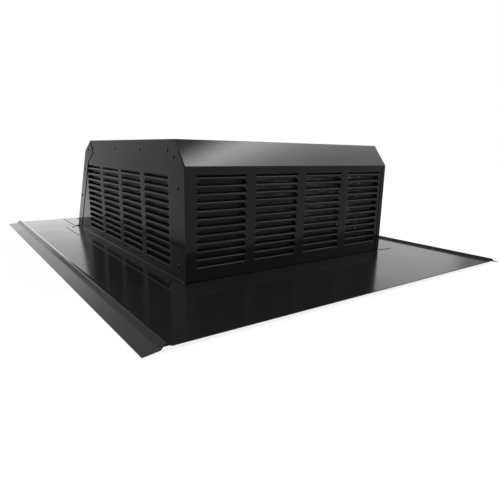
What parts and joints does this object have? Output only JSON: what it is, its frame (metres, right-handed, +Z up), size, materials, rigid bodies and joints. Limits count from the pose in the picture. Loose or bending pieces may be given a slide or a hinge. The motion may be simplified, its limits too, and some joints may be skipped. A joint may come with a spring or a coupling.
{
  "type": "static roof vent",
  "caption": "Low static roof exhaust vent of folded sheet: a slant-back hood with louvred front and ends, riveted to a flat flashing pan round an open throat.",
  "frame": {"origin": "middle of the flashing pan, level with the lowest edge of its side flanges", "axes": "+Z up off the roof, +Y from the louvred front up the roof to the slanted back, +X to the right"},
  "size_m": [0.755, 0.928, 0.2236],
  "materials": {
    "black_paint": "gloss black baked paint on galvanised sheet",
    "screen_wire": "black coated wire mesh",
    "rivet": "black painted blind rivet"
  },
  "bodies": {
    "root": {"base_pan": "black_paint", "front_louvre_panel": "black_paint", "left_louvre_panel": "black_paint", "right_louvre_panel": "black_paint", "top_cover": "black_paint", "back_panel": "black_paint", "front_screen": "screen_wire", "left_screen": "screen_wire", "right_screen": "screen_wire", "left_cover_rivets": "rivet", "right_cover_rivets": "rivet", "left_front_rivets": "rivet", "right_front_rivets": "rivet", "left_back_rivets": "rivet", "right_back_rivets": "rivet", "left_base_rivets": "rivet", "right_base_rivets": "rivet", "front_foot_rivets": "rivet", "back_foot_rivets": "rivet"}
  },
  "joints": []
}
